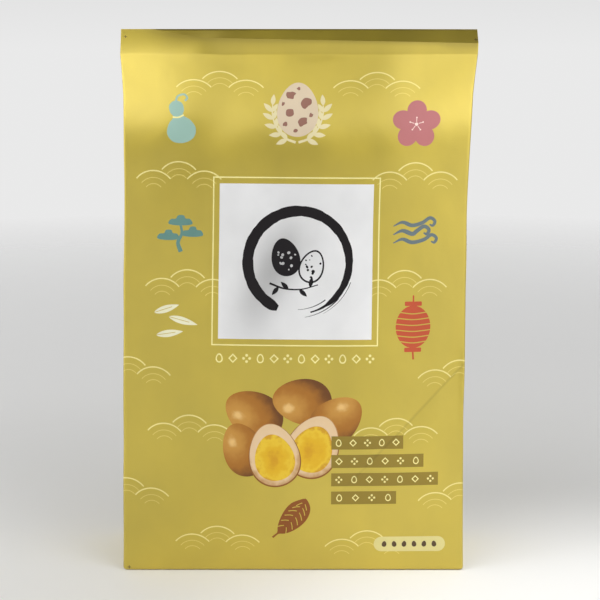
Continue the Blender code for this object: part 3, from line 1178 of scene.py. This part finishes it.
def add_piece(name, mesh):
    """A piece of the pouch, moved onto the solid."""
    mesh.transform(Matrix.Translation(SHIFT))
    piece = linked(name, mesh)
    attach(piece, "root")
    return piece


def sheet_shift():
    """How far the sheet moves so that the middle of its box is the solid's."""
    lowest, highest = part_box("pouch")
    round_pouch = np.linspace(-BACK_MIDDLE, BACK_MIDDLE, 817)
    s, z = np.meshgrid(round_pouch, np.linspace(0.0, HEIGHT, 235))
    points = wall_points(s, z).reshape(-1, 3)
    own = (points.min(axis=0) + points.max(axis=0)) / 2
    middle = (lowest + highest) / 2
    return Vector((middle.x - own[0], middle.y - own[1], 0.0))


FIN_ROOT = 0.0002
FIN_THICKNESS = 0.0004
FIN_GAP = 0.00008
FIN_LIFT = 0.0009
FIN_LIFT_FOOT = (0.004, 0.05)
FIN_LIFT_TOP = 0.03
FIN_RIB = 0.00005
FIN_ENDS = (0.0016, 0.0006)
FIN_STEP = 0.0008


def fin_mesh():
    """The fin seam: a thin ribbed strip from the middle of the back, its free edge a little up."""
    q = np.linspace(FIN_ROOT, FIN_WIDTH, 9)
    count = 2 * round((FILM_TOP - sum(FIN_ENDS)) / FIN_STEP / 2) + 1
    v = np.linspace(FIN_ENDS[0], FILM_TOP - FIN_ENDS[1], count)
    around = np.concatenate([q, q[::-1]])
    outer = np.arange(len(around)) < len(q)
    s, rows = np.meshgrid(around - BACK_MIDDLE, v)
    z = height_of(rows)
    lift = FIN_LIFT * smooth(z, *FIN_LIFT_FOOT) * (1 - smooth(z, SEAL_FOOT - FIN_LIFT_TOP, SEAL_FOOT))
    out = FIN_GAP + lift * ((s + BACK_MIDDLE) / FIN_WIDTH) ** 2
    rib = FIN_RIB * (-1.0) ** np.arange(count)[:, None]
    out = out + np.where(outer, FIN_THICKNESS + rib, 0.0)
    wide = len(around)
    faces = [tuple(range(wide)), tuple((count - 1) * wide + i for i in reversed(range(wide)))]
    for j in range(count - 1):
        for i in range(wide):
            low, after = j * wide, (i + 1) % wide
            faces.append((low + i, low + wide + i, low + wide + after, low + after))
    mesh = new_mesh("fin_seam", shaped(s, rows, out), faces)
    flat = np.stack([s.ravel(), rows.ravel()], 1)
    for name in ("film", "art"):
        layer = mesh.uv_layers.new(name=name)
        for corner in mesh.loops:
            layer.data[corner.index].uv = flat[corner.vertex_index]
    return mesh


def make_film():
    front_print()
    back_print()
    mesh = film_mesh()
    for material in materials():
        mesh.materials.append(material)
    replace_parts(add_piece("film", mesh), "pouch")


def make_fin():
    mesh = fin_mesh()
    mesh.materials.append(bpy.data.materials["film"])
    add_piece("fin_seam", mesh)


SHIFT = sheet_shift()
make_film()
make_fin()


# Stage, light and camera

FLOOR_SIZE = 6.0
FLOOR_FADE = (0.25, 1.3)
FLOOR_COLOUR = (0.88, 0.88, 0.87, 1.0)
FLOOR_ROUGHNESS = 0.8
# Soft boxes: azimuth, elevation and power
SOFT_BOXES = {
    "high_left": (-45, 52, 3.4),
    "left": (-75, 30, 2.6),
    "high_right": (45, 52, 1.9),
    "near_right": (45, 30, 2.2),
    "low_right": (38, 4, 1.0),
    "low_left": (-72, 8, 1.6),
}
BOX_AIM = (0, 0, 0.11)
BOX_DISTANCE = 1.3
BOX_SIZE = 0.8
POOL_PLACE = (0.13, -0.11, 0.6)
POOL_POWER = 5.6
POOL_ANGLE = math.radians(38)
POOL_LAMP_RADIUS = 0.02
# The surroundings: heights as the sine of the elevation, with their greys
SKY = (
    (0.0, 0.286), (0.12, 0.232), (0.25, 0.218), (0.38, 0.0),
    (0.50, 0.0), (0.58, 0.22), (0.66, 1.0), (0.74, 0.0),
)
SKY_STRENGTH = 2.86
EYE_DISTANCE = 0.600
EYE_ELEVATION = math.radians(10.5)
AIM_HEIGHT = 0.11635
AIM_OFFSET = 0.0030
FOCAL_PIXELS = 1356.0
FRAME_PIXELS = 600.0
SENSOR = 36.0


def stage():
    """The floor, which fades out into the surroundings."""
    corners = np.pad(box_outline(FLOOR_SIZE, FLOOR_SIZE), ((0, 0), (0, 1)))
    mesh = new_mesh("floor", corners, [(0, 1, 2, 3)])
    nodes = Nodes(bpy.data.materials.new("floor"))
    away = nodes.length(nodes.add("TexCoord", out="Object"))
    shown = nodes.span(away, *FLOOR_FADE, 1.0, 0.0)
    nodes.fill(nodes.shader, {"Base Color": FLOOR_COLOUR, "Roughness": FLOOR_ROUGHNESS, "Alpha": shown})
    mesh.materials.append(nodes.made)
    linked("floor", mesh)


def look_back(thing, back):
    """Turns a light or a camera so that back is the way from what it looks at to it."""
    thing.rotation_mode = "QUATERNION"
    thing.rotation_quaternion = back.to_track_quat("Z", "Y")


def soft_box(name, azimuth, elevation, power):
    """A square area light that faces the pouch."""
    data = bpy.data.lights.new(name, "AREA")
    data.shape, data.size, data.energy = "SQUARE", BOX_SIZE, power
    lamp = linked(name, data)
    a, e = math.radians(azimuth), math.radians(elevation)
    back = Vector((math.sin(a) * math.cos(e), -math.cos(a) * math.cos(e), math.sin(e)))
    lamp.location = Vector(BOX_AIM) + back * BOX_DISTANCE
    look_back(lamp, back)


def light_pool():
    """A broad soft pool of light on the floor to the right front, from straight above."""
    data = bpy.data.lights.new("pool", "SPOT")
    data.energy, data.spot_size, data.spot_blend = POOL_POWER, POOL_ANGLE, 1.0
    data.shadow_soft_size = POOL_LAMP_RADIUS
    linked("pool", data).location = POOL_PLACE


def world():
    """Grey surroundings with a bright band high up."""
    nodes = Nodes(bpy.data.worlds.new("studio"), "Background")
    up = nodes.add("SeparateXYZ", {0: nodes.add("TexCoord", out="Generated")}, "Z")
    shown = nodes.ramp(up, [(height, (grey, grey, grey, 1)) for height, grey in SKY], "LINEAR")
    nodes.fill(nodes.shader, {"Color": shown, "Strength": SKY_STRENGTH})
    bpy.context.scene.world = nodes.made


def camera():
    data = bpy.data.cameras.new("camera")
    data.sensor_width = SENSOR
    data.lens = SENSOR * FOCAL_PIXELS / FRAME_PIXELS
    eye = linked("camera", data)
    back = Vector((0, -math.cos(EYE_ELEVATION), math.sin(EYE_ELEVATION)))
    aim = Vector((SHIFT.x + AIM_OFFSET, SHIFT.y, AIM_HEIGHT))
    eye.location = aim + back * EYE_DISTANCE
    look_back(eye, back)
    bpy.context.scene.camera = eye


stage()
for name, facts in SOFT_BOXES.items():
    soft_box(name, *facts)
light_pool()
world()
camera()
bpy.context.scene.view_settings.view_transform = "Standard"
